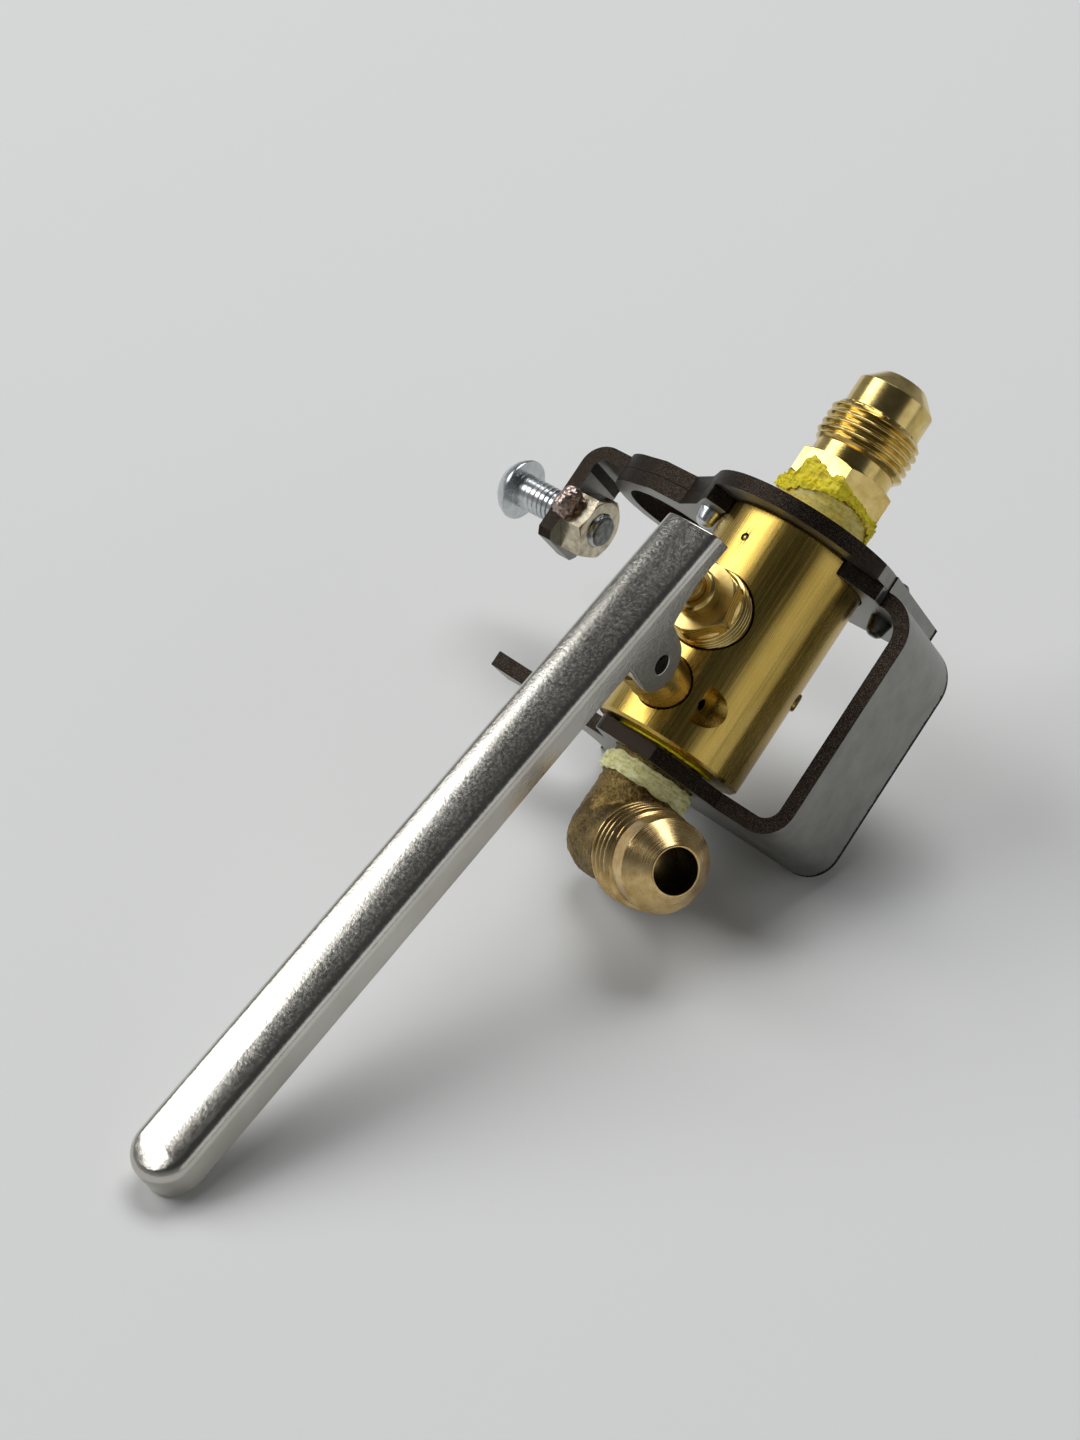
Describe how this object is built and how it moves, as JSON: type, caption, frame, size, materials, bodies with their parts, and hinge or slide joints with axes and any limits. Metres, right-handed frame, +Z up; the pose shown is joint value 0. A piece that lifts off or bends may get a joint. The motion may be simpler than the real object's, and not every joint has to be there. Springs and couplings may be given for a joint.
{
  "type": "lever-operated squeeze valve with tube clamp bracket",
  "caption": "Hand valve of round brass bar with a flare fitting, a flare elbow, a long squeeze lever on a post, and a bent steel bracket with an eye and screw that clamps it to a round tube.",
  "frame": {"origin": "centre of the bounding box's base, on the table the valve lies on", "axes": "+Z up from the table; +X along the table from the lever's tip towards the flare inlet; the body's axis is tilted up towards the inlet"},
  "size_m": [0.1628, 0.0874, 0.067],
  "materials": {
    "bar_brass": "drawn bar, lightly brushed, bright",
    "fitting_brass": "machined, bright",
    "forged_brass": "rough forging, dull brown",
    "mill_steel": "hot rolled sheet, grey brown",
    "lever_nickel": "satin plated, fine pebbled",
    "zinc_steel": "bright zinc plate",
    "nut_steel": "plated, worn",
    "weld_metal": "weld bead",
    "pin_steel": "black oiled",
    "stem_steel": "ground",
    "spring_steel": "drawn wire",
    "white_tape": "wrinkled sealing tape",
    "yellow_tape": "wrinkled sealing tape with yellow sealant",
    "white_plastic": "moulded",
    "black_rubber": "matte"
  },
  "bodies": {
    "valve": {"valve_body": "bar_brass", "top_plate": "mill_steel", "strap_bracket": "mill_steel", "plate_rivets": "zinc_steel", "inlet_fitting": "fitting_brass", "inlet_tape": "white_tape", "outlet_elbow": "forged_brass", "outlet_tape": "yellow_tape", "packing_nut": "fitting_brass", "packing_washer": "stem_steel", "stem_packing": "white_plastic", "valve_seat": "fitting_brass", "fulcrum_post": "fitting_brass", "post_lock_pin": "pin_steel", "clamp_nut": "nut_steel", "nut_weld": "weld_metal", "passage_plug": "fitting_brass", "ball_plug": "stem_steel"},
    "lever": {"lever": "lever_nickel", "stem_yoke": "lever_nickel", "pivot_pin": "pin_steel"},
    "stem": {"stem": "fitting_brass", "seal_disc": "black_rubber", "closing_spring": "spring_steel"},
    "clamp_screw": {"clamp_screw": "zinc_steel"}
  },
  "joints": [
    {"name": "lever_pivot", "type": "hinge", "parent": "valve", "child": "lever", "pos_m": [0.01645, -0.01782, 0.04305], "axis": [-0.0215, -0.9994, 0.0257], "range_deg": [0, 11], "stiffness_Nm_per_rad": 0.6, "springref_deg": -9.17},
    {"name": "stem_slide", "type": "slide", "parent": "valve", "child": "stem", "axis": [-0.6413, 0.0335, 0.7666], "range_m": [0, 0.00232], "deforming": ["closing_spring"]},
    {"name": "clamp_screw_slide", "type": "slide", "parent": "valve", "child": "clamp_screw", "axis": [-0.0215, -0.9994, 0.0257], "range_m": [-0.003, 0.01]}
  ],
  "couplings": [
    {"joint": "stem_slide", "follows": "lever_pivot", "m_per_rad": 0.011998}
  ]
}
